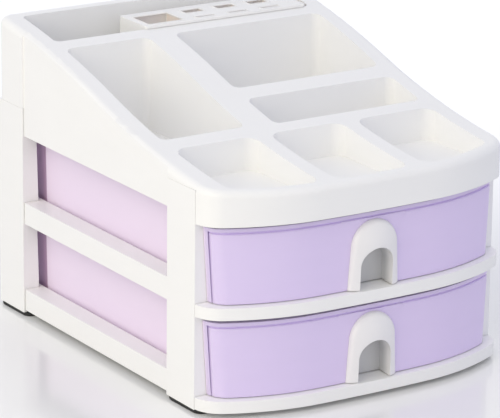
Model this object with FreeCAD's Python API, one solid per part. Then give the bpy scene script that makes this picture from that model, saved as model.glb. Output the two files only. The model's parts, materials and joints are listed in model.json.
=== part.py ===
import FreeCAD, Part
import math
import os

# Desk organizer with a sloping top tray and two bow-fronted drawers.
# Millimetres. +Z is up, the drawers open towards -Y, X runs from left to right.
# The origin is the middle of the footprint, on the desk.

V = FreeCAD.Vector

# Overall sizes
body_width = 202.4            # over the outer faces of the posts
overall_depth = 256.0         # from the lips of the pulls to the back of the tray
pull_overhang = 1.4           # lip of a pull, in front of the bowed shelf fronts
bow_depth = 30.2              # middle of the bowed front, in front of the posts

# The bowed front seen from above: a nearly flat middle, two side arcs and two corners
bow_middle_radius = 962.0
bow_middle_half = 36.2
bow_side_radius = 132.2
bow_corner_radius = 17.9

# Corner posts, channels that are open towards the middle
post_depth = 29.1
post_wall = 2.4
post_thin = 9.6               # at the top of a storey
post_flare = 1.2              # extra thickness at the foot of a storey
post_rib = 2.0
post_foot_z = 1.6
post_top_z = 129.1
back_lap = 2.4                # tray wall behind the rear posts

# Shelves
storey_pitch = 54.2
rail_bottom_z = 3.7
rail_height = 13.2
rail_recess = 1.0             # rails and tray sides lie this far inside the posts' faces
band_drop = 0.9               # front band below the side rails
band_height = 7.1
ledge_width = 12.6            # top of a side rail, from its outer face
shelf_wall = 2.2
shelf_rib = 1.6
shelf_rib_depth = 3.6
shelf_rib_pitch_x = 44.0
shelf_rib_pitch_y = 50.0
fit = 0.2                     # between pieces that plug into each other
seam = 0.5                    # open joint that shows as a dark line
bite = 0.5                    # overlap of shapes that become one moulding

# Top tray
tray_wall = 2.2
tray_skirt_z = 112.2
tray_band_drop = 2.0
crown_front_z = 129.8
crown_back_z = 179.7
crown_front_angle = 2.92      # slope of the top at its front edge, in degrees
crown_steep_angle = 17.6      # where the hollow curve turns into the swelling one
crown_back_angle = 6.6
crown_overrun = 1.0           # the curve is drawn on past both ends, in degrees
crown_round = 4.5
tray_back_radius = 9.0
well_level = 151.3            # height where the compartments have the sizes below
well_draft = 0.025            # lean of the compartment walls
deep_floor_z = 114.4
shallow_floor_z = 119.6
side_margin = 13.2            # body side to the outer compartments
back_rim = 10.0
back_well_depth = 39.3
back_well_round = 3.0
back_web = 11.0               # between the back compartment and the two before it
pen_well_width = 56.0
pen_web = 11.3                # between the pen compartment and the front ones
pen_side_web = 18.3
big_web = 12.0                # between the big compartment and the strip
strip_well_depth = 31.0
strip_web = 9.3               # between the strip and the front compartments
well_round = 5.0
front_rim = 5.4
front_wells_reach = 75.8      # from the front of the tray to their back walls
front_well_gap = 9.0          # between neighbouring front compartments
front_well_middle = 50.0      # width of the middle one
front_well_round = 8.0

# Lipstick rack, a loose insert in the back compartment
rack_length = 113.5
rack_end_gap = 2.5            # to the right end of the compartment
rack_plate = 1.4
rack_wall = 1.6
rack_depth = 28.4
rack_lip = 1.5                # plate over the compartment's front edge
rack_gap = 0.3                # to the compartment's front wall and rim
rack_corner = 2.0
rack_end = 4.0                # left end of the rack to the bin
rack_cell_floor_z = 130.0
rack_bin_width = 25.0
rack_bin_depth = 20.5
rack_cell_width = 14.0
rack_hole_depth = 8.0
rack_slot_depth = 3.5
rack_cell_pitch = 23.0
rack_cells = 3
rack_first_cell = 8.5         # clear space between the bin and the first cell

# Drawers
drawer_gap = 0.5              # front panel above the shelf
drawer_front_height = 43.5
drawer_wall = 2.0
drawer_corner = 4.0
front_inset = 5.0             # drawer front behind the bands
front_thickness = 3.8
front_taper = 3.1             # each side of the front is this much narrower at its foot
front_stop_gap = 0.3          # to the posts' front faces
groove_depth = 1.4            # groove around the raised panel
lip_top = 2.0                 # from the top edge of the front to the groove
lip_side = 0.9
lip_side_foot = 0.5
panel_margin_top = 3.2        # from the top edge of the front to the panel
panel_margin_side = 1.9
panel_margin_foot = 1.1
drawer_clearance = 1.1        # each side, to the ledges
drawer_wall_height = 41.0
drawer_draft = 0.8
drawer_back_gap = 1.0
runner_height = 1.0
runner_width = 3.0
runner_inset = 4.0            # from the side wall
runner_back = 6.0             # from the back wall

# Pulls
pull_radius = 15.2            # arch of the hood, on the panel
pull_height = 39.4
pull_edge_radius = 4.0        # rounding of the hood's edge, on the panel
pull_spread = 2.1             # each flank stands this much wider at its foot
pull_lean = 1.6               # and this much less proud
pull_opening_half = 10.5
pull_opening_height = 23.8
pull_back_half = 12.0
pull_pocket = 8.6             # pocket behind the panel's face
pull_wall = 1.6
pull_cup_round = 6.0
pull_seat_gap = 0.05          # hood to the panel
pull_seat_depth = 1.0         # the hood is drawn this far into the panel, then trimmed to it

# Feet
foot_length = 37.0
foot_width = 12.0
foot_lead = 8.0               # foot in front of its post
foot_gap = 0.3                # to the post's skin
foot_side_radius = 5.5
foot_chamfer = 0.6

# Places that follow from the sizes above
half_width = body_width / 2
front_y = -overall_depth / 2 + pull_overhang
back_y = overall_depth / 2
post_front_y = front_y + bow_depth
post_back_y = back_y - back_lap
back_post_y = post_back_y - post_depth
rail_face_x = half_width - rail_recess
ledge_x = rail_face_x - ledge_width
shelf_back_y = post_back_y - rail_recess
stop_rail_y = shelf_back_y - ledge_width
well_right = half_width - side_margin
back_well_front = back_y - back_rim - back_well_depth
front_wells_back = front_y + front_wells_reach
rack_left = well_right - rack_end_gap - rack_length
panel_y = front_y + front_inset
high = crown_back_z + 30.0
low = -30.0
far = body_width + overall_depth


def box(x0, x1, y0, y1, z0, z1):
    return Part.makeBox(x1 - x0, y1 - y0, z1 - z0, V(x0, y0, z0))


def fused(shapes):
    return shapes[0].multiFuse(shapes[1:]).removeSplitter()


def mirrored(shape):
    return shape.mirror(V(0, 0, 0), V(1, 0, 0))


def both_sides(shape):
    return [shape, mirrored(shape)]


def arc(start, middle, end):
    return Part.Arc(start, middle, end).toShape()


def line(start, end):
    return Part.LineSegment(start, end).toShape()


def on_circle(centre, radius, angle):
    return centre + V(radius * math.cos(angle), radius * math.sin(angle), 0)


def bow_wire(inset, z, back, back_radius=0.0, spread=0.0):
    """The body's outline seen from above, closed at Y = back and drawn at height z."""
    half = half_width + spread
    turn = math.asin(bow_middle_half / bow_middle_radius)
    centre_1 = V(0, front_y + bow_middle_radius, z)
    centre_2 = on_circle(centre_1, bow_middle_radius - bow_side_radius, turn - math.pi / 2)
    reach = bow_side_radius - bow_corner_radius
    across = half - bow_corner_radius - centre_2.x
    centre_3 = V(half - bow_corner_radius, centre_2.y - math.sqrt(reach ** 2 - across ** 2), z)
    side = math.atan2(centre_3.y - centre_2.y, centre_3.x - centre_2.x)
    down = -math.pi / 2
    r1 = bow_middle_radius - inset
    r2 = bow_side_radius - inset
    r3 = bow_corner_radius - inset
    apex = on_circle(centre_1, r1, down)
    a = on_circle(centre_1, r1, down + turn)
    ab = on_circle(centre_2, r2, (down + turn + side) / 2)
    b = on_circle(centre_2, r2, side)
    bc = on_circle(centre_3, r3, side / 2)
    c = on_circle(centre_3, r3, 0)

    def flip(p):
        return V(-p.x, p.y, p.z)

    edges = [arc(flip(c), flip(bc), flip(b)), arc(flip(b), flip(ab), flip(a)), arc(flip(a), apex, a),
             arc(a, ab, b), arc(b, bc, c)]
    if back_radius:
        centre = V(c.x - back_radius, back - back_radius, z)
        d = on_circle(centre, back_radius, 0)
        de = on_circle(centre, back_radius, math.pi / 4)
        e = on_circle(centre, back_radius, math.pi / 2)
        edges += [line(c, d), arc(d, de, e), line(e, flip(e)), arc(flip(e), flip(de), flip(d)),
                  line(flip(d), flip(c))]
    else:
        d = V(c.x, back, z)
        edges += [line(c, d), line(d, flip(d)), line(flip(d), flip(c))]
    return Part.Wire(edges)


def bow_prism(inset, back, z0, z1, back_radius=0.0):
    return Part.Face(bow_wire(inset, z0, back, back_radius)).extrude(V(0, 0, z1 - z0))


def tapered_bow(inset, back, z0, z1, taper):
    """The bowed outline between two heights, narrower by taper on each side at its foot."""
    return Part.makeLoft([bow_wire(inset, z0, back, 0.0, -taper), bow_wire(inset, z1, back)], True, True)


def rounded_face(x0, x1, y0, y1, radius, z):
    """A rectangle with round corners, lying at height z."""
    quarter = math.pi / 2
    corners = [(V(x1 - radius, y0 + radius, z), -1), (V(x1 - radius, y1 - radius, z), 0),
               (V(x0 + radius, y1 - radius, z), 1), (V(x0 + radius, y0 + radius, z), 2)]
    edges = []
    for n, (centre, step) in enumerate(corners):
        start = on_circle(centre, radius, quarter * step)
        middle = on_circle(centre, radius, quarter * (step + 0.5))
        end = on_circle(centre, radius, quarter * (step + 1))
        after, after_step = corners[(n + 1) % 4]
        edges += [arc(start, middle, end), line(end, on_circle(after, radius, quarter * after_step))]
    return Part.Face(Part.Wire(edges))


def upright_plate(half_foot, half_top, z0, z1):
    """A shape that widens from its foot to its top, endless along Y."""
    points = [V(-half_foot, -far, z0), V(half_foot, -far, z0), V(half_top, -far, z1), V(-half_top, -far, z1)]
    return Part.Face(Part.makePolygon(points + points[:1])).extrude(V(0, 2 * far, 0))


def edges_at(solid, z):
    return [e for e in solid.Edges if abs(e.BoundBox.ZMin - z) < 1e-4 and abs(e.BoundBox.ZMax - z) < 1e-4]


# Posts

def post(y0):
    """The left post with its front face at y0."""
    deck = rail_bottom_z - band_drop + band_height
    inner = [(post_foot_z, post_thin)]
    for n in range(2):
        foot = deck + n * storey_pitch
        head = foot + storey_pitch - band_height
        inner += [(foot, post_thin), (foot, post_thin + post_flare), (head, post_thin)]
    inner += [(post_top_z, post_thin)]
    points = [V(-half_width, y0, post_foot_z)] + [V(-half_width + t, y0, z) for z, t in inner]
    points += [V(-half_width, y0, post_top_z)]
    profile = Part.Face(Part.makePolygon(points + points[:1]))
    solid = profile.extrude(V(0, post_depth, 0))
    deep = post_thin + post_flare + 1
    channel = box(-half_width + post_wall, -half_width + deep, y0 + post_wall, y0 + post_depth - post_wall, low, high)
    solid = solid.cut(channel)
    solid = solid.cut(box(-half_width + post_wall, 0, y0 - 1, y0 + post_depth + 1, low, rail_bottom_z + fit))
    ribs = []
    rail_top = rail_bottom_z + rail_height
    for z in (rail_top, rail_bottom_z + storey_pitch - post_rib, rail_top + storey_pitch, tray_skirt_z - post_rib):
        ribs.append(box(-half_width + post_wall - bite, -half_width + post_thin - fit, y0 + post_wall - bite,
                        y0 + post_depth - post_wall + bite, z, z + post_rib))
    return fused([solid] + ribs)


def post_slot(y0, z0, z1, front_gap):
    """Room for a left post's three walls in a piece that plugs into its channel."""
    deep = -half_width + post_thin + post_flare + fit
    return fused([
        box(-half_width - 5, -half_width + post_wall + fit, y0 - front_gap, y0 + post_depth + fit, z0, z1),
        box(-half_width - 5, deep, y0 - front_gap, y0 + post_wall + fit, z0, z1),
        box(-half_width - 5, deep, y0 + post_depth - post_wall - fit, y0 + post_depth + fit, z0, z1)])


# Shelves

def shelf(rail_bottom, foot_seats):
    band_bottom = rail_bottom - band_drop
    deck_top = band_bottom + band_height
    rail_top = rail_bottom + rail_height
    under_deck = deck_top - shelf_wall
    w = shelf_wall
    solid = bow_prism(0, shelf_back_y, band_bottom, rail_top)
    behind = post_front_y - seam
    cuts = [box(-far, far, -far, post_front_y, deck_top, rail_top + 1),
            box(-ledge_x, ledge_x, -far, stop_rail_y, deck_top, rail_top + 1),
            box(-far, far, behind, far, band_bottom - 1, rail_bottom)]
    cuts += both_sides(box(-far, -rail_face_x, behind, far, low, high))
    # The moulding is hollow from below
    bow_room = bow_prism(w, shelf_back_y, band_bottom - 1, under_deck)
    bow_room = bow_room.common(box(-far, far, -far, behind - w, low, high))
    cuts += [bow_room, box(-ledge_x, ledge_x, behind - w - 1, shelf_back_y - w, band_bottom - 1, under_deck),
             box(-ledge_x, ledge_x, stop_rail_y + w, shelf_back_y - w, band_bottom - 1, rail_top - w)]
    rail_start = post_front_y + post_depth + fit + w
    rail_end = back_post_y - fit - w
    cuts += both_sides(box(-rail_face_x + w, -ledge_x + 1, rail_start, rail_end, band_bottom - 1, under_deck))
    cuts += both_sides(box(-rail_face_x + w, -ledge_x - w, rail_start, rail_end, band_bottom - 1, rail_top - w))
    for y0 in (post_front_y, back_post_y):
        tab = box(-half_width + post_wall + fit + w, -ledge_x - w, y0 + post_wall + fit + w,
                  y0 + post_depth - post_wall - fit - w, band_bottom - 1, rail_top - w)
        cuts += both_sides(tab)
        cuts += both_sides(post_slot(y0, low, high, seam))
    solid = solid.cut(fused(cuts))
    # Stiffening ribs under the deck
    ribs = []
    rib_z = under_deck - shelf_rib_depth
    for n in (-1, 0, 1):
        x = n * shelf_rib_pitch_x
        ribs.append(box(x - shelf_rib / 2, x + shelf_rib / 2, -far, shelf_back_y - 1, rib_z, under_deck + bite))
    for n in (-1, 0, 1):
        y = n * shelf_rib_pitch_y
        ribs.append(box(-ledge_x - 1, ledge_x + 1, y - shelf_rib / 2, y + shelf_rib / 2, rib_z, under_deck + bite))
    inside = bow_prism(w / 2, shelf_back_y, low, high)
    solid = fused([solid] + [rib.common(inside) for rib in ribs])
    if foot_seats:
        seats = []
        for y0 in (post_front_y, back_post_y):
            skin = -half_width + post_wall
            seat = box(skin + fit, skin + foot_gap + foot_width + w, y0 - foot_lead - w, y0 + post_depth,
                       rail_bottom, rail_bottom + w)
            seat = seat.common(bow_prism(w / 2, shelf_back_y, low, high)).cut(post_slot(y0, low, high, seam))
            seats += both_sides(seat)
        solid = fused([solid] + seats)
        solid = solid.cut(fused([foot_shape(side, y0, foot_gap, band_bottom - 1, rail_bottom)
                                 for side in (-1, 1) for y0 in (post_front_y, back_post_y)]))
    return solid


def foot_shape(side, y0, grow, z0, z1):
    """Outline of a rubber pad beside the post at y0, on the left for side = -1."""
    outer = half_width - post_wall - foot_gap + grow
    inner = outer - foot_width - 2 * grow
    lead = y0 - foot_lead - grow
    x0, x1 = sorted((side * outer, side * inner))
    return rounded_face(x0, x1, lead, lead + foot_length + 2 * grow, foot_side_radius, z0).extrude(V(0, 0, z1 - z0))


def foot(side, y0):
    pad = foot_shape(side, y0, 0.0, 0.0, rail_bottom_z)
    return pad.makeChamfer(foot_chamfer, edges_at(pad, 0.0))


# Top tray

def crown_arcs():
    """The tray's top seen from the side: two tangent arcs, first hollow and then swelling."""
    run = back_y - front_y
    rise = crown_back_z - crown_front_z
    a, b, c = [math.radians(v) for v in (crown_front_angle, crown_steep_angle, crown_back_angle)]
    # Both radii follow from the run and the rise
    run_1 = math.sin(b) - math.sin(a)
    run_2 = math.sin(b) - math.sin(c)
    rise_1 = math.cos(a) - math.cos(b)
    rise_2 = math.cos(c) - math.cos(b)
    scale = run_1 * rise_2 - run_2 * rise_1
    radius_1 = (run * rise_2 - rise * run_2) / scale
    radius_2 = (rise * run_1 - run * rise_1) / scale
    centre_1 = V(0, front_y - radius_1 * math.sin(a), crown_front_z + radius_1 * math.cos(a))
    joint = centre_1 + V(0, math.sin(b), -math.cos(b)) * radius_1
    centre_2 = joint + V(0, math.sin(b), -math.cos(b)) * radius_2
    return centre_1, radius_1, centre_2, radius_2, joint.y


def crown_height(y):
    centre_1, radius_1, centre_2, radius_2, joint_y = crown_arcs()
    if y < joint_y:
        return centre_1.z - math.sqrt(radius_1 ** 2 - (y - centre_1.y) ** 2)
    return centre_2.z + math.sqrt(radius_2 ** 2 - (y - centre_2.y) ** 2)


def above_crown(drop):
    """Everything above the tray's top, or above a skin's underside for a drop."""
    centre_1, radius_1, centre_2, radius_2, joint_y = crown_arcs()

    def on_hollow(degrees):
        angle = math.radians(degrees)
        return centre_1 + V(0, math.sin(angle), -math.cos(angle)) * (radius_1 + drop)

    def on_swell(degrees):
        angle = math.radians(degrees)
        return centre_2 + V(0, -math.sin(angle), math.cos(angle)) * (radius_2 - drop)

    first = crown_front_angle - crown_overrun
    last = crown_back_angle - crown_overrun
    a = on_hollow(first)
    joint = on_hollow(crown_steep_angle)
    b = on_swell(last)
    edges = [arc(a, on_hollow((first + crown_steep_angle) / 2), joint),
             arc(joint, on_swell((last + crown_steep_angle) / 2), b),
             line(b, V(0, b.y, high)), line(V(0, b.y, high), V(0, a.y, high)), line(V(0, a.y, high), a)]
    face = Part.Face(Part.Wire(edges))
    face.translate(V(-far, 0, 0))
    return face.extrude(V(2 * far, 0, 0))


def well(x0, x1, y0, y1, radius, z_floor, grow):
    """A compartment with leaning walls."""
    up = well_draft * (high - well_level) + grow
    down = well_draft * (well_level - z_floor) - grow
    upper = rounded_face(x0 - up, x1 + up, y0 - up, y1 + up, radius + up, high)
    lower = rounded_face(x0 + down, x1 - down, y0 + down, y1 - down, radius - down, z_floor)
    return Part.makeLoft([lower.OuterWire, upper.OuterWire], True, True)


def bowed_well(x0, x1, grow, floor_drop):
    """A front compartment, whose front wall follows the bow."""
    z_floor = shallow_floor_z - floor_drop
    up = well_draft * (high - well_level) + grow
    down = well_draft * (well_level - z_floor) - grow
    y1 = front_wells_back
    upper = rounded_face(x0 - up, x1 + up, front_y, y1 + up, front_well_round + up, high)
    lower = rounded_face(x0 + down, x1 - down, front_y, y1 - down, front_well_round - down, z_floor)
    slab = Part.makeLoft([lower.OuterWire, upper.OuterWire], True, True)
    front = box(x0 - up, x1 + up, front_y, (front_y + y1) / 2, z_floor, high)
    sides = upright_plate((x1 - x0) / 2 - down, (x1 - x0) / 2 + up, z_floor, high)
    sides.translate(V((x0 + x1) / 2, 0, 0))
    bow = Part.makeLoft([bow_wire(front_rim + down, z_floor, back_y), bow_wire(front_rim - up, high, back_y)],
                        True, True)
    pocket = fused([slab, front.common(sides)]).common(bow)
    upright = [e for e in pocket.Edges if e.BoundBox.ZLength > high - z_floor - 1]
    return pocket.makeFillet(front_well_round - down, [e for e in upright if e.BoundBox.YMax < (front_y + y1) / 2])


def wells(grow, floor_drop):
    """All compartments, made larger by grow and deeper by floor_drop."""
    deep = deep_floor_z - floor_drop
    shallow = shallow_floor_z - floor_drop
    before_back = back_well_front - back_web
    pen_right = -well_right + pen_well_width
    big_left = pen_right + pen_side_web
    strip_front = front_wells_back + strip_web
    strip_back = strip_front + strip_well_depth
    middle = front_well_middle / 2
    back_well_back = back_well_front + back_well_depth
    return [well(-well_right, well_right, back_well_front, back_well_back, back_well_round, deep, grow),
            well(-well_right, pen_right, front_wells_back + pen_web, before_back, well_round, deep, grow),
            well(big_left, well_right, strip_back + big_web, before_back, well_round, deep, grow),
            well(big_left, well_right, strip_front, strip_back, well_round, shallow, grow),
            bowed_well(-well_right, -middle - front_well_gap, grow, floor_drop),
            bowed_well(-middle, middle, grow, floor_drop),
            bowed_well(middle + front_well_gap, well_right, grow, floor_drop)]


def top_tray():
    w = tray_wall
    band_bottom = tray_skirt_z - tray_band_drop
    behind = post_front_y - seam
    solid = bow_prism(0, back_y, band_bottom, high, tray_back_radius).cut(above_crown(0.0))
    above = [e for e in solid.Edges if e.BoundBox.ZMin > crown_front_z - 1]
    joint = [e for e in above if e.BoundBox.XLength > body_width - 1 and e.BoundBox.YMax < back_y - 1]
    solid = solid.makeFillet(crown_round, [e for e in above if not any(e.isSame(j) for j in joint)])
    cuts = [box(-far, far, behind, far, band_bottom - 1, tray_skirt_z)]
    # The sides step in between the posts and are hollow from below
    cuts += both_sides(box(-far, -rail_face_x, post_front_y + post_depth + fit, back_post_y - seam, low, high))
    hollow = bow_prism(w, back_y - w, low, high, tray_back_radius - w).cut(above_crown(w))
    hollow = hollow.cut(fused(both_sides(box(-far, -rail_face_x + w, behind - w, back_post_y, low, high))))
    walls = wells(w, w)
    sockets = []
    for y0 in (post_front_y, back_post_y):
        sockets += both_sides(box(-half_width, -half_width + side_margin, y0 - seam - w, y0 + post_depth + seam + w,
                                  tray_skirt_z, post_top_z + seam + w))
    hollow = hollow.cut(fused(walls + sockets))
    rooms = []
    tongues = []
    for y0 in (post_front_y, back_post_y):
        inner = -half_width + post_thin + fit
        rooms += both_sides(box(-far, inner, y0 - seam, y0 + post_depth + seam, low, post_top_z + seam))
        tongues += both_sides(box(-half_width + post_wall + fit, inner + 1, y0 + post_wall + fit,
                                  y0 + post_depth - post_wall - fit, tray_skirt_z, post_top_z + seam + 1))
    rooms = [room.cut(fused(tongues)) for room in rooms]
    solid = solid.cut(fused(cuts + rooms)).cut(hollow)
    return solid.cut(fused(wells(0.0, 0.0)))


# Lipstick rack

def lipstick_rack():
    w = rack_wall
    front = back_well_front + well_draft * (well_level - deep_floor_z) + rack_gap
    back = front + rack_depth
    x1 = rack_left + rack_length
    plate_bottom = crown_height(back_well_front) + rack_gap
    rack_top_z = plate_bottom + rack_plate
    body = rounded_face(rack_left, x1, front, back, rack_corner, deep_floor_z)
    lip = rounded_face(rack_left, x1, back_well_front - rack_lip, back, rack_corner, plate_bottom)
    inside = rounded_face(rack_left + w, x1 - w, front + w, back - w, rack_corner - w, low)
    cell_front = front + w
    cell_back = cell_front + rack_bin_depth
    x = rack_left + rack_end
    rooms = [(x, x + rack_bin_width, cell_front, cell_back)]
    for n in range(rack_cells):
        cell = x + rack_bin_width + rack_first_cell + n * rack_cell_pitch
        rooms.append((cell, cell + rack_cell_width, cell_front, cell_front + rack_slot_depth))
        rooms.append((cell, cell + rack_cell_width, cell_back - rack_hole_depth, cell_back))
    tubes = [box(a - w, b + w, c - w, d + w, rack_cell_floor_z - w, rack_top_z - bite) for a, b, c, d in rooms]
    holes = [box(a, b, c, d, rack_cell_floor_z, high) for a, b, c, d in rooms]
    solid = fused([body.extrude(V(0, 0, rack_top_z - deep_floor_z)), lip.extrude(V(0, 0, rack_plate))])
    solid = solid.cut(inside.extrude(V(0, 0, plate_bottom - low)).cut(fused(tubes)))
    return solid.cut(fused(holes))


# Drawers

def drawer_front(z0):
    """Bowed plate with a lip, a groove and a raised panel."""
    z1 = z0 + drawer_front_height
    top = half_width - front_inset
    foot = top - front_taper
    back = front_inset + front_thickness
    plate = tapered_bow(front_inset, post_back_y, z0, z1, front_taper)
    plate = plate.cut(tapered_bow(back, post_back_y, z0 - 1, z1 + 1, front_taper))
    plate = plate.cut(box(-far, far, post_front_y - front_stop_gap, far, low, high))
    groove = upright_plate(foot - lip_side_foot, top - lip_side, z0, z1 - lip_top)
    groove = groove.cut(upright_plate(foot - panel_margin_foot, top - panel_margin_side, z0, z1 - panel_margin_top))
    groove = groove.cut(tapered_bow(front_inset + groove_depth, post_back_y, z0, z1, front_taper))
    return plate.cut(groove)


def drawer(deck):
    """A drawer that stands on the shelf whose deck is at this height."""
    z0 = deck + drawer_gap
    w = drawer_wall
    x_top = ledge_x - drawer_clearance
    x_low = x_top - drawer_draft
    y_end = stop_rail_y - drawer_back_gap
    z_floor = deck + runner_height
    z_top = deck + drawer_wall_height
    inner_face = front_inset + front_thickness

    def tub(inset, z_low):
        radius = drawer_corner - inset
        lower = rounded_face(-x_low + inset, x_low - inset, -far, y_end - inset - drawer_draft, radius, z_low)
        upper = rounded_face(-x_top + inset, x_top - inset, -far, y_end - inset, radius, z_top)
        return Part.makeLoft([lower.OuterWire, upper.OuterWire], True, True)

    outer = tub(0.0, z_floor).common(bow_prism(inner_face - bite, post_back_y, low, high))
    inner = tub(w, z_floor + w).common(bow_prism(inner_face, post_back_y, low, high))
    runners = both_sides(box(-x_low + runner_inset, -x_low + runner_inset + runner_width, post_front_y,
                             y_end - runner_back, deck, z_floor + bite))
    solid = fused([drawer_front(z0), outer.cut(inner)] + runners)
    return solid.cut(pull_cup(z0, fit))


# Pulls

def pull_cup(z0, grow):
    """The part of a pull that goes through the drawer front."""
    back = panel_y + pull_pocket + pull_wall + grow
    half = pull_back_half + pull_wall + grow
    top = z0 + pull_opening_height + pull_back_half - pull_opening_half + pull_wall + grow
    cup = box(-half, half, panel_y - 1.0, back, z0 - grow, top)
    upright = [e for e in cup.Edges if e.BoundBox.YLength > 1 and e.BoundBox.ZMin > z0 + 1]
    return cup.makeFillet(pull_cup_round, upright)


def pull_mouth(z0):
    """Round-topped finger opening that widens towards the pocket's back wall."""
    y0 = front_y - pull_overhang - 1.0
    y1 = panel_y + pull_pocket
    arch_z = z0 + pull_opening_height - pull_opening_half
    points = [V(-pull_opening_half, y0, z0 - 1), V(pull_opening_half, y0, z0 - 1),
              V(pull_back_half, y1, z0 - 1), V(-pull_back_half, y1, z0 - 1)]
    gate = Part.Face(Part.makePolygon(points + points[:1])).extrude(V(0, 0, arch_z - z0 + 1))
    arch = Part.makeCone(pull_opening_half, pull_back_half, y1 - y0, V(0, y0, arch_z), V(0, 1, 0))
    return fused([gate, arch])


def hood_section(start, z):
    """Right half of the hood's section on the panel, from X = start: a flat arc with a rounded edge."""
    lip = front_inset + pull_overhang
    edge = pull_edge_radius
    reach = pull_radius - edge
    radius = (reach ** 2 + lip ** 2 - edge ** 2) / (2 * (lip - edge))
    centre = V(0, panel_y - lip + radius, z)
    tangent = math.atan2(reach, radius - lip)

    def on_crest(angle):
        return centre + V(math.sin(angle), -math.cos(angle), 0) * radius

    first = math.asin(start / radius)
    corner = V(reach, panel_y, z)
    turn = corner + V(math.sin(tangent), -math.cos(tangent), 0) * edge
    half_way = (tangent + math.pi / 2) / 2
    shoulder = corner + V(math.sin(half_way), -math.cos(half_way), 0) * edge
    foot = V(pull_radius, panel_y, z)
    inside = V(pull_radius, panel_y + pull_seat_depth, z)
    return Part.Face(Part.Wire([
        arc(on_crest(first), on_crest((first + tangent) / 2), turn), arc(turn, shoulder, foot), line(foot, inside),
        line(inside, V(start, inside.y, z)), line(V(start, inside.y, z), on_crest(first))]))


def pull(deck):
    z0 = deck + drawer_gap
    arch_z = z0 + pull_height - pull_radius
    dome = hood_section(0.0, arch_z).revolve(V(0, 0, arch_z), V(0, -1, 0), 180)
    flank = hood_section(-1.0, arch_z).extrude(V(pull_spread, pull_lean, z0 - arch_z))
    hood = fused([dome] + both_sides(flank)).cut(bow_prism(front_inset - pull_seat_gap, 0, low, high))
    return fused([hood, pull_cup(z0, 0.0)]).cut(pull_mouth(z0))


os.makedirs("parts", exist_ok=True)

deck_z = rail_bottom_z - band_drop + band_height
front_post = post(post_front_y)
back_post = post(back_post_y)
nodes = {"top_tray": top_tray(), "base_shelf": shelf(rail_bottom_z, True),
         "mid_shelf": shelf(rail_bottom_z + storey_pitch, False),
         "post_front_left": front_post, "post_front_right": mirrored(front_post),
         "post_rear_left": back_post, "post_rear_right": mirrored(back_post),
         "foot_front_left": foot(-1, post_front_y), "foot_front_right": foot(1, post_front_y),
         "foot_rear_left": foot(-1, back_post_y), "foot_rear_right": foot(1, back_post_y),
         "lower_drawer": drawer(deck_z), "upper_drawer": drawer(deck_z + storey_pitch),
         "lower_pull": pull(deck_z), "upper_pull": pull(deck_z + storey_pitch),
         "lipstick_rack": lipstick_rack()}
for name, shape in nodes.items():
    print(name, shape.isValid(), len(shape.Solids), round(shape.Volume), shape.BoundBox)
    shape.exportStep("parts/" + name + ".step")
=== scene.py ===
import json
import math

import bmesh
import bpy
from bpy.props import FloatProperty, FloatVectorProperty, IntProperty, PointerProperty
from mathutils import Matrix, Vector

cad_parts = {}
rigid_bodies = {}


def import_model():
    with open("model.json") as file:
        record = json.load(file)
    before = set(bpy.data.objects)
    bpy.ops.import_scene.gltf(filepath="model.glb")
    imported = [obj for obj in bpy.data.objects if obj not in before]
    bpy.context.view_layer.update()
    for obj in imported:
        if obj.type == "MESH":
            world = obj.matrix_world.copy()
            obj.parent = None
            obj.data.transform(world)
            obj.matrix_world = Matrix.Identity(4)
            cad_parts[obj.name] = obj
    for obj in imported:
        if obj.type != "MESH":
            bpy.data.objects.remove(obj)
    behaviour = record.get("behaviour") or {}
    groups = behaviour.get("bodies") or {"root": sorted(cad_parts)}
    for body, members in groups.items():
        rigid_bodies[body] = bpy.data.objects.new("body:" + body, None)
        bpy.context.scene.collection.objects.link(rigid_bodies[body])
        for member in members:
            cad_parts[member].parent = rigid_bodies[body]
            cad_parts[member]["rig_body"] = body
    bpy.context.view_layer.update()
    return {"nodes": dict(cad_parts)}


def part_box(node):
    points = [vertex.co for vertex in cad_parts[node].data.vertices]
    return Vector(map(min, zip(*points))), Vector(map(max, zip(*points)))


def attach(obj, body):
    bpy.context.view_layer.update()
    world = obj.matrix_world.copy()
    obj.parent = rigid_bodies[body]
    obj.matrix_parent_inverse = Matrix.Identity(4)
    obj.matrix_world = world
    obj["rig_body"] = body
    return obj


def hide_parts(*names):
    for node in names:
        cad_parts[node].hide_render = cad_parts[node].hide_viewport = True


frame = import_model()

bl_info = {
    "name": "Desk Drawer Organizer",
    "version": (1, 0, 0),
    "blender": (4, 5, 0),
    "location": "View3D > Sidebar > Organizer",
    "description": "Finishes a desk organizer with a sloping tray, two drawers and a lipstick rack",
    "category": "Object",
}

NODES = frame["nodes"]
CORNERS = ["%s_%s" % (end, side) for end in ("front", "rear") for side in ("left", "right")]
AXIS_Y, AXIS_Z = 1, 2

# The materials that are made already, by slot
MATERIALS = {}

# Distances in metres: within them corners are merged, slivers are removed and heights or depths count as equal
WELD = 2e-6
SLIVER = 1e-6
LEVEL = 2e-5

# Angles in degrees: up to the first, faces are joined into one, and from the others on, edges are rounded
FLAT_ANGLE = 0.6
EDGE_ANGLE = 28.0
TRAY_EDGE_ANGLE = 40.0
PANEL_EDGE_ANGLE = 35.0

# How much of the light goes into a plastic, and how far it gets, in metres
OPAQUE = (0.0, 0.004)
THICK_WALL = (0.12, 0.003)
THIN_WALL = (0.2, 0.004)


# Sizes and colours that a user would change

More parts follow.
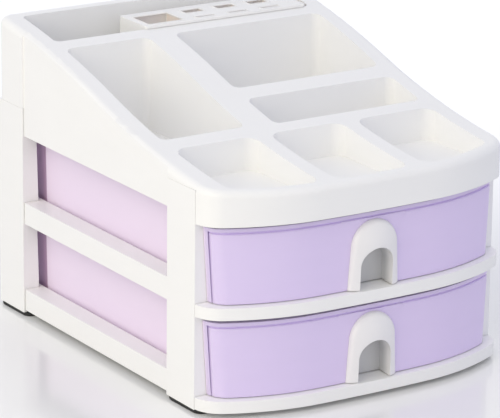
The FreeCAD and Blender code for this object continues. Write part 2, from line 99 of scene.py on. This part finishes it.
class OrganizerFinish(bpy.types.PropertyGroup):
    """Colours and surface grain of the mouldings, with painted light and shade on the drawers, pulls and rack."""
    white: FloatVectorProperty(name="White plastic", description="Colour of the tray, shelves and posts",
                               subtype="COLOR", size=3, min=0, max=1, default=(0.955, 0.95, 0.94))
    lilac: FloatVectorProperty(name="Lilac plastic", description="Colour of the drawer fronts",
                               subtype="COLOR", size=3, min=0, max=1, default=(0.78, 0.665, 0.95))
    # Painted light: a lighter, pinker copy of the lilac everywhere behind the drawer fronts, standing in for the
    # warm key light on the drawers' sides.
    lilac_painted_light: FloatVectorProperty(name="Lilac painted light", description="Colour of the drawers' thinner walls",
                                    subtype="COLOR", size=3, min=0, max=1, default=(0.93, 0.785, 0.99))
    # Painted shade: dark lilac on the step at the rear end of the drawers' sides, standing in for the shade in the
    # narrow gap behind the rear posts.
    lilac_painted_shade: FloatVectorProperty(name="Lilac painted shade",
                                    description="Colour of the step at the rear end of the drawers' sides",
                                    subtype="COLOR", size=3, min=0, max=1, default=(0.52, 0.34, 0.52))
    pull: FloatVectorProperty(name="Pull white", description="Colour of the finger pulls",
                              subtype="COLOR", size=3, min=0, max=1, default=(0.90, 0.885, 0.89))
    # Painted shade: grey in the finger pulls' pockets, standing in for the shade deep inside them.
    pull_painted_shade: FloatVectorProperty(name="Pull painted shade", description="Colour of the finger pulls' pockets",
                                     subtype="COLOR", size=3, min=0, max=1, default=(0.66, 0.66, 0.66))
    rack: FloatVectorProperty(name="Rack cream", description="Colour of the lipstick rack",
                              subtype="COLOR", size=3, min=0, max=1, default=(0.98, 0.97, 0.95))
    # Painted shade: a warmer, darker peach inside the rack's bin, holes and slots, standing in for the warm-tinted
    # shade in them.
    rack_painted_shade: FloatVectorProperty(name="Rack painted shade", description="Colour inside the rack's bin and holes",
                                   subtype="COLOR", size=3, min=0, max=1, default=(0.98, 0.87, 0.80))
    rubber: FloatVectorProperty(name="Rubber", description="Colour of the feet",
                                subtype="COLOR", size=3, min=0, max=1, default=(0.012, 0.012, 0.013))
    gloss: FloatProperty(name="Plastic roughness", description="Roughness of the moulded plastic",
                         min=0.05, max=1, default=0.34)
    grain: FloatProperty(name="Grain size", description="Distance between the faint waves of the moulded skin",
                         subtype="DISTANCE", min=0.0002, default=0.0022)


class OrganizerEdges(bpy.types.PropertyGroup):
    """Rounding of the moulded edges, and the small forms that the solids leave out."""
    frame: FloatProperty(name="Frame edges", description="Rounding of the shelves and posts",
                         subtype="DISTANCE", min=0.00005, default=0.00025)
    drawer: FloatProperty(name="Drawer edges", description="Rounding of the drawers",
                          subtype="DISTANCE", min=0.00005, default=0.0005)
    tray: FloatProperty(name="Tray edges", description="Rounding of the compartments' upper edges",
                        subtype="DISTANCE", min=0.00005, default=0.0011)
    pull: FloatProperty(name="Pull edges", description="Rounding of the finger pulls",
                        subtype="DISTANCE", min=0.00005, default=0.0004)
    rack: FloatProperty(name="Rack edges", description="Rounding of the lipstick rack",
                        subtype="DISTANCE", min=0.00005, default=0.0003)
    foot: FloatProperty(name="Foot edges", description="Rounding of the rubber feet",
                        subtype="DISTANCE", min=0.00005, default=0.0002)
    foot_rim: FloatProperty(name="Foot rim", description="Height of the foot's rim under its post",
                            subtype="DISTANCE", min=0.0005, default=0.0021)
    foot_reach: FloatProperty(name="Foot reach", description="How far the rim stands out from the foot",
                              subtype="DISTANCE", min=0, default=0.0024)
    foot_short: FloatProperty(name="Foot front", description="How much shorter the foot is in front than its seat",
                              subtype="DISTANCE", min=0, default=0.0045)
    panel: FloatProperty(name="Panel edge", description="Rounding of the drawers' raised panels at the top",
                         subtype="DISTANCE", min=0.0001, default=0.0011)
    panel_top: FloatProperty(name="Panel top", description="From a drawer front's top to its raised panel",
                             subtype="DISTANCE", min=0, default=0.0032)
    tub_step: FloatProperty(name="Tub step", description="How far the drawers' sides step in at the back",
                            subtype="DISTANCE", min=0, default=0.0008)
    tub_end: FloatProperty(name="Tub end", description="Where that step is, from the organizer's middle",
                           subtype="DISTANCE", min=0, default=0.095)
    segments: IntProperty(name="Segments", description="Facets across a rounded edge", min=1, max=6, default=2)


class OrganizerRims(bpy.types.PropertyGroup):
    """The raised rims round the rack's bin, holes and slots."""
    cells: IntProperty(name="Cells", description="Lipstick holes along the rack", min=1, max=12, default=3)
    pitch: FloatProperty(name="Pitch", description="Distance from one hole to the next",
                         subtype="DISTANCE", min=0.005, default=0.023)
    first: FloatProperty(name="First hole", description="Place of the first hole's middle across the organizer",
                         subtype="DISTANCE", default=0.0165)
    width: FloatProperty(name="Hole width", description="Width of a hole",
                         subtype="DISTANCE", min=0.002, default=0.014)
    hole: FloatProperty(name="Hole depth", description="A hole from front to back",
                        subtype="DISTANCE", min=0.002, default=0.008)
    slot: FloatProperty(name="Slot depth", description="A slot from front to back",
                        subtype="DISTANCE", min=0.001, default=0.0035)
    bin: FloatProperty(name="Bin width", description="Width of the open bin",
                       subtype="DISTANCE", min=0.005, default=0.025)
    bead: FloatProperty(name="Rim bead", description="Radius of the rounded rim",
                        subtype="DISTANCE", min=0.0001, default=0.0006)


class OrganizerStage(bpy.types.PropertyGroup):
    """Camera and studio light."""
    azimuth: FloatProperty(name="Azimuth", description="Camera angle to the left of straight on",
                           subtype="ANGLE", default=math.radians(32.95))
    elevation: FloatProperty(name="Elevation", description="Camera angle above the horizon",
                             subtype="ANGLE", default=math.radians(17.206))
    roll: FloatProperty(name="Roll", description="Camera turn about its own axis",
                        subtype="ANGLE", default=math.radians(0.665))
    place: FloatVectorProperty(name="Camera place", description="Where the camera stands",
                               subtype="TRANSLATION", size=3, default=(-1.0168, -1.5639, 0.6546))
    lens: FloatProperty(name="Lens", description="Focal length in millimetres on a 36 mm wide sensor",
                        min=20, max=600, default=240.18)
    key: FloatProperty(name="Key light", description="Power of the large soft light on the left",
                       subtype="POWER", unit="POWER", min=0, default=13.1)
    key_colour: FloatVectorProperty(name="Key colour", description="Colour of the large soft light",
                                    subtype="COLOR", size=3, min=0, max=1, default=(1.0, 0.921, 0.644))
    ambient: FloatVectorProperty(name="Ambient", description="The studio's even light",
                                 subtype="COLOR", size=3, min=0, max=1, default=(0.672, 0.69, 0.785))


# Shader nodes

class Tree:
    """Adds nodes to a node tree, each from its type, settings and inputs."""

    def __init__(self, tree):
        self.tree = tree
        tree.nodes.clear()

    def add(self, kind, settings=None, inputs=None):
        node = self.tree.nodes.new(kind)
        for name, value in (settings or {}).items():
            setattr(node, name, value)
        for name, value in (inputs or {}).items():
            self.feed(node.inputs[name], value)
        return node

    def feed(self, socket, value):
        if isinstance(value, Value):
            self.tree.links.new(value.socket, socket)
        elif isinstance(value, bpy.types.NodeSocket):
            self.tree.links.new(value, socket)
        elif socket.type == "RGBA" and len(value) == 3:
            socket.default_value = (*value, 1.0)
        else:
            socket.default_value = value

    def value(self, socket):
        return Value(self, socket)

    def noise(self, place, scale, detail, roughness):
        node = self.add("ShaderNodeTexNoise", {"noise_dimensions": "3D"},
                        {"Vector": place, "Scale": scale, "Detail": detail, "Roughness": roughness})
        return self.value(node.outputs["Fac"])

    def mix(self, factor, first, second):
        node = self.add("ShaderNodeMix", {"data_type": "RGBA"})
        for name, value in (("Factor_Float", factor), ("A_Color", first), ("B_Color", second)):
            socket = next(s for s in node.inputs if s.identifier == name)
            self.feed(socket, value)
        return next(s for s in node.outputs if s.identifier == "Result_Color")


class Value:
    """A number in a shader, so that sums are written as Python."""

    def __init__(self, tree, socket):
        self.tree = tree
        self.socket = socket

    def maths(self, operation, *values):
        inputs = dict(enumerate(values))
        node = self.tree.add("ShaderNodeMath", {"operation": operation}, inputs)
        return Value(self.tree, node.outputs[0])

    def __add__(self, other):
        return self.maths("ADD", self, other)

    __radd__ = __add__

    def __sub__(self, other):
        return self.maths("SUBTRACT", self, other)

    def __rsub__(self, other):
        return self.maths("SUBTRACT", other, self)

    def __mul__(self, other):
        return self.maths("MULTIPLY", self, other)

    __rmul__ = __mul__

    def clamped(self):
        return self.maths("MAXIMUM", self.maths("MINIMUM", self, 1.0), 0.0)


def beyond(value, start, end):
    """0 before start and 1 past end, along one axis."""
    return ((value - start) * (1.0 / (end - start))).clamped()


def new_material(name):
    """A material and its empty node tree."""
    material = bpy.data.materials.new(name)
    material.use_nodes = True
    return material, Tree(material.node_tree)


def moulded_plastic(name, colour, roughness, grain, scatter=OPAQUE, places=()):
    """Satin injection-moulded plastic: faint skin waves, flow streaks and handling haze. Each further colour
    takes over where its function says, from the place in metres."""
    flow_stretch = (3.0, 3.0, 14.0)
    flow_share, haze_share = 0.6, 0.4
    shade_down, shade_up = 0.975, 1.02
    haze_roughness = 0.10
    refraction = 1.47
    material, tree = new_material(name)
    place = tree.add("ShaderNodeTexCoord").outputs["Object"]
    waves = tree.noise(place, scale=1 / grain, detail=2.0, roughness=0.45)
    haze = tree.noise(place, scale=26.0, detail=3.0, roughness=0.55)
    stretch = tree.add("ShaderNodeMapping", {"vector_type": "POINT"}, {"Vector": place, "Scale": flow_stretch})
    flow = tree.noise(stretch.outputs[0], scale=9.0, detail=2.0, roughness=0.5)
    tint = (flow * flow_share + haze * haze_share).clamped()
    axes = tree.add("ShaderNodeSeparateXYZ", {}, {"Vector": place}).outputs
    paint = None
    for shade, where in ((colour, None),) + tuple(places):
        darker = tuple(c * shade_down for c in shade)
        lighter = tuple(min(1.0, c * shade_up) for c in shade)
        coat = tree.mix(tint, (*darker, 1), (*lighter, 1))
        paint = tree.mix(where(*(tree.value(axis) for axis in axes)), paint, coat) if where else coat
    rough = (haze - 0.5) * haze_roughness + roughness
    relief = tree.add("ShaderNodeBump", {}, {"Strength": 0.02, "Distance": 0.0004, "Height": waves})
    share, reach = scatter
    skin = tree.add("ShaderNodeBsdfPrincipled", {"subsurface_method": "RANDOM_WALK"}, {
        "Base Color": paint, "Roughness": rough, "Normal": relief.outputs[0], "IOR": refraction,
        "Subsurface Weight": share, "Subsurface Radius": (1.0, 1.0, 1.0), "Subsurface Scale": reach})
    tree.add("ShaderNodeOutputMaterial", {}, {"Surface": skin.outputs[0]})
    return material


def rubber(name, colour):
    """Matt black rubber with fine pores, greyer and rougher where dust lies."""
    worn_lighter, dust_share = 2.6, 0.5
    clean_roughness, dust_roughness = 0.62, 0.15
    material, tree = new_material(name)
    place = tree.add("ShaderNodeTexCoord").outputs["Object"]
    pores = tree.noise(place, scale=1800.0, detail=3.0, roughness=0.6)
    dust = tree.noise(place, scale=90.0, detail=2.0, roughness=0.5)
    worn = tuple(c * worn_lighter for c in colour)
    paint = tree.mix(dust * dust_share, (*colour, 1), (*worn, 1))
    relief = tree.add("ShaderNodeBump", {}, {"Strength": 0.25, "Distance": 0.0002, "Height": pores})
    skin = tree.add("ShaderNodeBsdfPrincipled", {}, {
        "Base Color": paint, "Roughness": dust * dust_roughness + clean_roughness, "Normal": relief.outputs[0]})
    tree.add("ShaderNodeOutputMaterial", {}, {"Surface": skin.outputs[0]})
    return material


def in_a_tub(x, y, z):
    """Behind a drawer's front plate, where the painted light goes: a lighter, pinker lilac standing in for the warm
    key light on the drawer's sides.
    """
    plate_back, fade = -0.0985, 0.002
    return beyond(y, plate_back, plate_back + fade)


def on_tub_step(x, y, z):
    """On the step at the rear end of a drawer's sides, which ends before the rear corners. The painted shade goes
    here.
    """
    lead, length = 0.0002, 0.0125
    fade_in, fade_out = 0.0003, 0.0007
    step = bpy.context.scene.organizer_edges.tub_end
    start, end = step - lead, step + length
    return beyond(y, start, start + fade_in) * beyond(y, end, end - fade_out)


def in_a_pocket(x, y, z):
    """In a finger pull, from the hood's face to the back of its pocket, where the painted shade goes."""
    hood, pocket = -0.1225, -0.1165
    return beyond(y, hood, pocket)


def in_a_cell(x, y, z):
    """Inside the rack's bin, holes and slots, below the rack's upper face, where the painted warm shade goes."""
    low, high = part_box("lipstick_rack")
    left_wall, front_wall, back_wall = 0.0030, 0.0028, 0.0070
    rim, full, fade = 0.0003, 0.0015, 0.0006
    left, front, back = low.x + left_wall, low.y + front_wall, high.y - back_wall
    return (beyond(z, high.z - rim, high.z - full) * beyond(x, left, left + fade)
            * beyond(y, back, back - fade) * beyond(y, front, front + fade))


def material_for(slot):
    """The finish of one of the record's material slots, made once."""
    if slot not in MATERIALS:
        finish = bpy.context.scene.organizer_finish
        gloss, grain = finish.gloss, finish.grain
        pull_smoother = 0.04
        if slot == "white_plastic":
            made = moulded_plastic("White moulded plastic", finish.white, gloss, grain)
        elif slot == "lilac_plastic":
            # The drawers' lilac carries painted light behind the front plate and painted shade on the step at the
            # back.
            made = moulded_plastic("Lilac moulded plastic", finish.lilac, gloss, grain, THIN_WALL,
                                   [(finish.lilac_painted_light, in_a_tub), (finish.lilac_painted_shade, on_tub_step)])
        elif slot == "pull_white":
            # The pulls' white turns to painted shade in their pockets.
            made = moulded_plastic("White pull plastic", finish.pull, gloss - pull_smoother, grain, THICK_WALL,
                                   [(finish.pull_painted_shade, in_a_pocket)])
        elif slot == "rack_cream":
            # The rack's cream turns to painted shade inside its cells.
            made = moulded_plastic("Cream rack plastic", finish.rack, gloss, grain, THIN_WALL,
                                   [(finish.rack_painted_shade, in_a_cell)])
        else:
            made = rubber("Black rubber", finish.rubber)
        MATERIALS[slot] = made
    return MATERIALS[slot]


# Dressed copies of the construction

def dress(node, slot, width, angle=EDGE_ANGLE, shaped=None):
    """A node's shape with its edges rounded, as a finished piece that stands for it. The function shaped
    works on the joined mesh before its edges are rounded."""
    mesh = NODES[node].data.copy()
    mesh.name = node + "_finished"
    work = bmesh.new()
    work.from_mesh(mesh)
    bmesh.ops.remove_doubles(work, verts=work.verts, dist=WELD)
    bmesh.ops.dissolve_limit(work, angle_limit=math.radians(FLAT_ANGLE), verts=work.verts, edges=work.edges)
    if shaped:
        shaped(work)
        bmesh.ops.dissolve_degenerate(work, dist=SLIVER, edges=work.edges)
    bmesh.ops.recalc_face_normals(work, faces=work.faces)
    work.to_mesh(mesh)
    work.free()
    piece = bpy.data.objects.new(node + "_finished", mesh)
    bpy.context.scene.collection.objects.link(piece)
    mesh.materials.clear()
    mesh.materials.append(material_for(slot))
    for polygon in mesh.polygons:
        polygon.material_index = 0
        polygon.use_smooth = True
    edges = bpy.context.scene.organizer_edges
    bevel = piece.modifiers.new("Rounded edges", "BEVEL")
    bevel.width = width
    bevel.segments = edges.segments
    bevel.limit_method = "ANGLE"
    bevel.angle_limit = math.radians(angle)
    bevel.use_clamp_overlap = True
    bevel.harden_normals = False
    weighted = piece.modifiers.new("Even shading", "WEIGHTED_NORMAL")
    weighted.keep_sharp = True
    settle(piece)
    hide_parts(node)
    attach(piece, NODES[node]["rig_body"])


def settle(piece):
    """Turns a piece with modifiers into a plain mesh."""
    graph = bpy.context.evaluated_depsgraph_get()
    mesh = bpy.data.meshes.new_from_object(piece.evaluated_get(graph), preserve_all_data_layers=True,
                                           depsgraph=graph)
    mesh.name = piece.name
    piece.modifiers.clear()
    piece.data = mesh


def rim_tree():
    """Geometry nodes for rounded rims, one round each of a row of cells, and the identifiers of its inputs."""
    corner_facets, bead_facets = 4, 10
    group = bpy.data.node_groups.new("Cell rims", "GeometryNodeTree")
    group.is_modifier = True
    ports = {}
    for name, kind in (("Cells", "NodeSocketInt"), ("Pitch", "NodeSocketFloat"), ("First", "NodeSocketVector"),
                       ("Width", "NodeSocketFloat"), ("Depth", "NodeSocketFloat"), ("Corner", "NodeSocketFloat"),
                       ("Bead", "NodeSocketFloat"), ("Material", "NodeSocketMaterial")):
        ports[name] = group.interface.new_socket(name=name, in_out="INPUT", socket_type=kind).identifier
    group.interface.new_socket(name="Rims", in_out="OUTPUT", socket_type="NodeSocketGeometry")
    tree = Tree(group)
    sizes = tree.add("NodeGroupInput").outputs
    step = tree.add("ShaderNodeCombineXYZ", {}, {"X": sizes["Pitch"]})
    row = tree.add("GeometryNodeMeshLine", {"mode": "OFFSET"},
                   {"Count": sizes["Cells"], "Start Location": sizes["First"], "Offset": step.outputs[0]})
    outline = tree.add("GeometryNodeCurvePrimitiveQuadrilateral", {"mode": "RECTANGLE"},
                       {"Width": sizes["Width"], "Height": sizes["Depth"]})
    rounded = tree.add("GeometryNodeFilletCurve", {"mode": "POLY"},
                       {"Curve": outline.outputs[0], "Count": corner_facets, "Radius": sizes["Corner"]})
    section = tree.add("GeometryNodeCurvePrimitiveCircle", {"mode": "RADIUS"},
                       {"Resolution": bead_facets, "Radius": sizes["Bead"]})
    rim = tree.add("GeometryNodeCurveToMesh", {},
                   {"Curve": rounded.outputs[0], "Profile Curve": section.outputs[0]})
    smooth = tree.add("GeometryNodeSetShadeSmooth", {}, {"Geometry": rim.outputs[0]})
    repeated = tree.add("GeometryNodeInstanceOnPoints", {},
                        {"Points": row.outputs[0], "Instance": smooth.outputs[0]})
    whole = tree.add("GeometryNodeRealizeInstances", {}, {"Geometry": repeated.outputs[0]})
    finished = tree.add("GeometryNodeSetMaterial", {},
                        {"Geometry": whole.outputs[0], "Material": sizes["Material"]})
    tree.add("NodeGroupOutput", {}, {0: finished.outputs[0]})
    return group, ports


def grow(name, group, ports, values):
    """A mesh made by a geometry tree from named sizes."""
    piece = bpy.data.objects.new(name, bpy.data.meshes.new(name))
    bpy.context.scene.collection.objects.link(piece)
    nodes = piece.modifiers.new(group.name, "NODES")
    nodes.node_group = group
    for port, value in values.items():
        nodes[ports[port]] = value
    settle(piece)
    if not piece.data.vertices:
        raise RuntimeError("%s came out empty" % name)
    return piece


def cut_across(work, axis, place):
    """Divides a mesh at a place on an axis, without taking anything away."""
    point, direction = Vector((0, 0, 0)), Vector((0, 0, 0))
    point[axis], direction[axis] = place, 1.0
    everything = work.verts[:] + work.edges[:] + work.faces[:]
    bmesh.ops.bisect_plane(work, geom=everything, plane_co=point, plane_no=direction, dist=SLIVER)


def close_seams(work):
    """Brings the tray down onto the posts' tops, so that the seams there show as fine lines."""
    socket_width, socket_gap, seam = 0.0115, 0.0005, 0.00015
    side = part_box("top_tray")[1].x
    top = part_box("post_front_left")[1].z
    for vert in work.verts:
        if abs(vert.co.x) > side - socket_width and abs(vert.co.z - top - socket_gap) < LEVEL:
            vert.co.z = top + seam


class OrganizerTray(bpy.types.Operator):
    """Finish the top tray."""
    bl_idname = "organizer.tray"
    bl_label = "Top Tray"

    def execute(self, context):
        dress("top_tray", "white_plastic", context.scene.organizer_edges.tray, TRAY_EDGE_ANGLE, close_seams)
        return {"FINISHED"}


class OrganizerShelves(bpy.types.Operator):
    """Finish the two shelves."""
    bl_idname = "organizer.shelves"
    bl_label = "Shelves"

    def execute(self, context):
        for node in ("mid_shelf", "base_shelf"):
            dress(node, "white_plastic", context.scene.organizer_edges.frame)
        return {"FINISHED"}


def stand_on_foot(work):
    """Ends a post just above its foot's rim."""
    clearance = 0.0001
    rim = bpy.context.scene.organizer_edges.foot_rim
    for vert in work.verts:
        if vert.co.z < rim:
            vert.co.z = rim + clearance


def widen_foot(work):
    """Lets the lower part of a foot reach out under its post's skin, as a rim that is square at the back
    and round in front."""
    shoulder, squareness = 0.00005, 0.3
    edges = bpy.context.scene.organizer_edges
    for height in (edges.foot_rim - shoulder, edges.foot_rim):
        cut_across(work, AXIS_Z, height)
    places = [vert.co.copy() for vert in work.verts]
    low = Vector(min(place[axis] for place in places) for axis in range(3))
    high = Vector(max(place[axis] for place in places) for axis in range(3))
    middle, half = (low + high) / 2, (high.x - low.x) / 2
    outwards = math.copysign(1.0, middle.x)
    for vert in work.verts:
        out = (vert.co.x - middle.x) * outwards
        behind = vert.co.y > middle.y
        if vert.co.z < edges.foot_rim - LEVEL and out > 0:
            if behind:
                out = half * (out / half) ** squareness
            vert.co.x = middle.x + outwards * (out + edges.foot_reach)
        if not behind:
            vert.co.y += edges.foot_short


class OrganizerPosts(bpy.types.Operator):
    """Finish the four corner posts."""
    bl_idname = "organizer.posts"
    bl_label = "Corner Posts"

    def execute(self, context):
        for corner in CORNERS:
            dress("post_" + corner, "white_plastic", context.scene.organizer_edges.frame, shaped=stand_on_foot)
        return {"FINISHED"}


class OrganizerFeet(bpy.types.Operator):
    """Finish the rubber feet."""
    bl_idname = "organizer.feet"
    bl_label = "Rubber Feet"

    def execute(self, context):
        for corner in CORNERS:
            dress("foot_" + corner, "black_rubber", context.scene.organizer_edges.foot, shaped=widen_foot)
        return {"FINISHED"}


def narrow_end(work):
    """Steps a drawer's sides in at the back."""
    ramp, tub_half = 0.0004, 0.0857
    edges = bpy.context.scene.organizer_edges
    for place in (edges.tub_end - ramp, edges.tub_end):
        cut_across(work, AXIS_Y, place)
    ratio = 1 - edges.tub_step / tub_half
    for vert in work.verts:
        if vert.co.y > edges.tub_end - LEVEL:
            vert.co.x *= ratio


def round_panel(work):
    """Rounds the upper edge of a drawer's raised panel, on both sides of the pull."""
    pull_half, facets = 0.018, 4
    edges = bpy.context.scene.organizer_edges
    top = max(vert.co.z for vert in work.verts) - edges.panel_top
    ridge = [edge for edge in work.edges
             if len(edge.link_faces) == 2 and edge.calc_face_angle_signed(0.0) > math.radians(PANEL_EDGE_ANGLE)
             and all(abs(vert.co.z - top) < LEVEL and abs(vert.co.x) > pull_half for vert in edge.verts)]
    bmesh.ops.bevel(work, geom=ridge, offset=edges.panel, offset_type="OFFSET", segments=facets, profile=0.5,
                    affect="EDGES", clamp_overlap=False)


def shape_drawer(work):
    """Rounds a drawer's panel and steps its sides in at the back."""
    round_panel(work)
    narrow_end(work)


class OrganizerDrawers(bpy.types.Operator):
    """Finish the two drawers."""
    bl_idname = "organizer.drawers"
    bl_label = "Drawers"

    def execute(self, context):
        for node in ("upper_drawer", "lower_drawer"):
            dress(node, "lilac_plastic", context.scene.organizer_edges.drawer, shaped=shape_drawer)
        return {"FINISHED"}


class OrganizerPulls(bpy.types.Operator):
    """Finish the hooded finger pulls."""
    bl_idname = "organizer.pulls"
    bl_label = "Finger Pulls"

    def execute(self, context):
        for node in ("upper_pull", "lower_pull"):
            dress(node, "pull_white", context.scene.organizer_edges.pull)
        return {"FINISHED"}


def seat_lip(work):
    """Lets the rack's plate rest on the tray in front of it."""
    plate, lip, drop = 0.0014, 0.0025, 0.00028
    low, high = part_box("lipstick_rack")
    for vert in work.verts:
        if abs(vert.co.z - high.z + plate) < LEVEL and vert.co.y < low.y + lip:
            vert.co.z -= drop


class OrganizerRack(bpy.types.Operator):
    """Finish the lipstick rack."""
    bl_idname = "organizer.rack"
    bl_label = "Lipstick Rack"

    def execute(self, context):
        dress("lipstick_rack", "rack_cream", context.scene.organizer_edges.rack, shaped=seat_lip)
        return {"FINISHED"}


class OrganizerRackRims(bpy.types.Operator):
    """Raise rounded rims round the rack's bin, holes and slots."""
    bl_idname = "organizer.rack_rims"
    bl_label = "Rack Rims"

    def execute(self, context):
        back_wall, front_wall, left_wall = 0.0075, 0.0031, 0.004
        corner, sunk = 0.0006, 0.35
        rims = context.scene.organizer_rims
        low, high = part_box("lipstick_rack")
        group, ports = rim_tree()
        cell_front, cell_back = low.y + front_wall, high.y - back_wall
        left = low.x + left_wall
        level = high.z - rims.bead * sunk
        rows = (("rack_bin_rim", 1, left + rims.bin / 2, rims.bin, cell_front, cell_back),
                ("rack_hole_rims", rims.cells, rims.first, rims.width, cell_back - rims.hole, cell_back),
                ("rack_slot_rims", rims.cells, rims.first, rims.width, cell_front, cell_front + rims.slot))
        for name, cells, middle, width, front, back in rows:
            piece = grow(name, group, ports, {
                "Cells": cells, "Pitch": rims.pitch, "First": (middle, (front + back) / 2, level), "Width": width,
                "Depth": back - front, "Corner": corner, "Bead": rims.bead, "Material": material_for("rack_cream")})
            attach(piece, "rack")
        return {"FINISHED"}


# Stage

def soft_light(name, place, aim, size, power, colour):
    """A large square light that looks at one point."""
    lamp = bpy.data.lights.new(name, "AREA")
    lamp.color = colour
    lamp.shape = "RECTANGLE"
    lamp.size = lamp.size_y = size
    lamp.energy = power
    holder = bpy.data.objects.new(name, lamp)
    holder.location = place
    holder.rotation_euler = (Vector(aim) - Vector(place)).to_track_quat("-Z", "Y").to_euler()
    bpy.context.scene.collection.objects.link(holder)


def floor_material():
    """White glossy floor. It turns to the white of the backdrop away from the object and keeps the shadow."""
    shine_share, shine_roughness = 0.22, 0.12
    near, far = 0.18, 0.50
    near_lift, far_lift = 0.09, 0.25
    material, tree = new_material("Studio floor")
    place = tree.add("ShaderNodeTexCoord").outputs["Object"]
    away = tree.value(tree.add("ShaderNodeVectorMath", {"operation": "LENGTH"}, {0: place}).outputs["Value"])
    seen = tree.value(tree.add("ShaderNodeLightPath").outputs["Is Camera Ray"])
    matt = tree.add("ShaderNodeBsdfDiffuse", {}, {"Color": (0.82, 0.82, 0.82)})
    shine = tree.add("ShaderNodeBsdfGlossy", {}, {"Color": (1.0, 1.0, 1.0), "Roughness": shine_roughness})
    mixed = tree.add("ShaderNodeMixShader", {}, {"Fac": shine_share, 1: matt.outputs[0], 2: shine.outputs[0]})
    strength = seen * (beyond(away, near, far) * far_lift + near_lift)
    lift = tree.add("ShaderNodeEmission", {}, {"Color": (1.0, 1.0, 1.0), "Strength": strength})
    both = tree.add("ShaderNodeAddShader", {}, {0: mixed.outputs[0], 1: lift.outputs[0]})
    tree.add("ShaderNodeOutputMaterial", {}, {"Surface": both.outputs[0]})
    return material


def studio_floor():
    """A plain square floor round the origin."""
    reach = 12.0
    mesh = bpy.data.meshes.new("floor")
    corners = [(-reach, -reach, 0), (reach, -reach, 0), (reach, reach, 0), (-reach, reach, 0)]
    mesh.from_pydata(corners, [], [(0, 1, 2, 3)])
    mesh.materials.append(floor_material())
    floor = bpy.data.objects.new("floor", mesh)
    bpy.context.scene.collection.objects.link(floor)


def studio_world(ambient):
    """Even light of the studio, whose backdrop shows as white."""
    world = bpy.data.worlds.new("Studio")
    world.use_nodes = True
    tree = Tree(world.node_tree)
    path = tree.add("ShaderNodeLightPath").outputs
    rays = ("Is Camera Ray", "Is Glossy Ray", "Is Transmission Ray")
    seen = sum(tree.value(path[ray]) for ray in rays).clamped()
    colour = tree.mix(seen, (*ambient, 1), (1.0, 1.0, 1.0, 1))
    back = tree.add("ShaderNodeBackground", {}, {"Color": colour, "Strength": 1.0})
    tree.add("ShaderNodeOutputWorld", {}, {"Surface": back.outputs[0]})
    return world


def studio_camera(stage):
    """A camera at its place, turned by azimuth, elevation and roll."""
    camera = bpy.data.cameras.new("camera")
    camera.lens = stage.lens
    camera.sensor_width = 36.0
    camera.clip_start = 0.05
    camera.clip_end = 50.0
    holder = bpy.data.objects.new("camera", camera)
    ahead = Vector((math.sin(stage.azimuth) * math.cos(stage.elevation),
                    math.cos(stage.azimuth) * math.cos(stage.elevation), -math.sin(stage.elevation)))
    right = ahead.cross(Vector((0, 0, 1))).normalized()
    up = right.cross(ahead)
    turned = right * math.cos(stage.roll) + up * math.sin(stage.roll)
    upright = up * math.cos(stage.roll) - right * math.sin(stage.roll)
    matrix = Matrix((turned, upright, -ahead)).transposed().to_4x4()
    matrix.translation = Vector(stage.place)
    holder.matrix_world = matrix
    bpy.context.scene.collection.objects.link(holder)
    return holder


class OrganizerStageSetup(bpy.types.Operator):
    """Set up the floor, the studio light and the camera."""
    bl_idname = "organizer.stage"
    bl_label = "Stage"

    def execute(self, context):
        key_place, key_aim, key_size = (-1.5, -0.62, 1.0), (0, 0, 0.08), 1.6
        scene = context.scene
        stage = scene.organizer_stage
        studio_floor()
        soft_light("key_light", key_place, key_aim, key_size, stage.key, stage.key_colour)
        scene.world = studio_world(stage.ambient)
        scene.view_settings.view_transform = "Standard"
        scene.camera = studio_camera(stage)
        return {"FINISHED"}


class OrganizerPanel(bpy.types.Panel):
    """Buttons for the organizer's pieces."""
    bl_idname = "VIEW3D_PT_organizer"
    bl_label = "Desk Drawer Organizer"
    bl_space_type = "VIEW_3D"
    bl_region_type = "UI"
    bl_category = "Organizer"

    def draw(self, context):
        layout = self.layout
        scene = context.scene
        for group in (scene.organizer_finish, scene.organizer_edges, scene.organizer_rims, scene.organizer_stage):
            column = layout.column(align=True)
            for name in group.__annotations__:
                column.prop(group, name)
        column = layout.column(align=True)
        for operator in OPERATORS:
            column.operator(operator.bl_idname)


GROUPS = (OrganizerFinish, OrganizerEdges, OrganizerRims, OrganizerStage)
OPERATORS = (OrganizerTray, OrganizerShelves, OrganizerPosts, OrganizerFeet, OrganizerDrawers, OrganizerPulls,
             OrganizerRack, OrganizerRackRims, OrganizerStageSetup)


def register():
    for group in GROUPS + OPERATORS + (OrganizerPanel,):
        bpy.utils.register_class(group)
    bpy.types.Scene.organizer_finish = PointerProperty(type=OrganizerFinish)
    bpy.types.Scene.organizer_edges = PointerProperty(type=OrganizerEdges)
    bpy.types.Scene.organizer_rims = PointerProperty(type=OrganizerRims)
    bpy.types.Scene.organizer_stage = PointerProperty(type=OrganizerStage)


def unregister():
    del bpy.types.Scene.organizer_stage
    del bpy.types.Scene.organizer_rims
    del bpy.types.Scene.organizer_edges
    del bpy.types.Scene.organizer_finish
    for group in reversed(GROUPS + OPERATORS + (OrganizerPanel,)):
        bpy.utils.unregister_class(group)


def main():
    register()
    bpy.ops.organizer.tray()
    bpy.ops.organizer.shelves()
    bpy.ops.organizer.posts()
    bpy.ops.organizer.feet()
    bpy.ops.organizer.drawers()
    bpy.ops.organizer.pulls()
    bpy.ops.organizer.rack()
    bpy.ops.organizer.rack_rims()
    bpy.ops.organizer.stage()


if __name__ == "__main__":
    main()
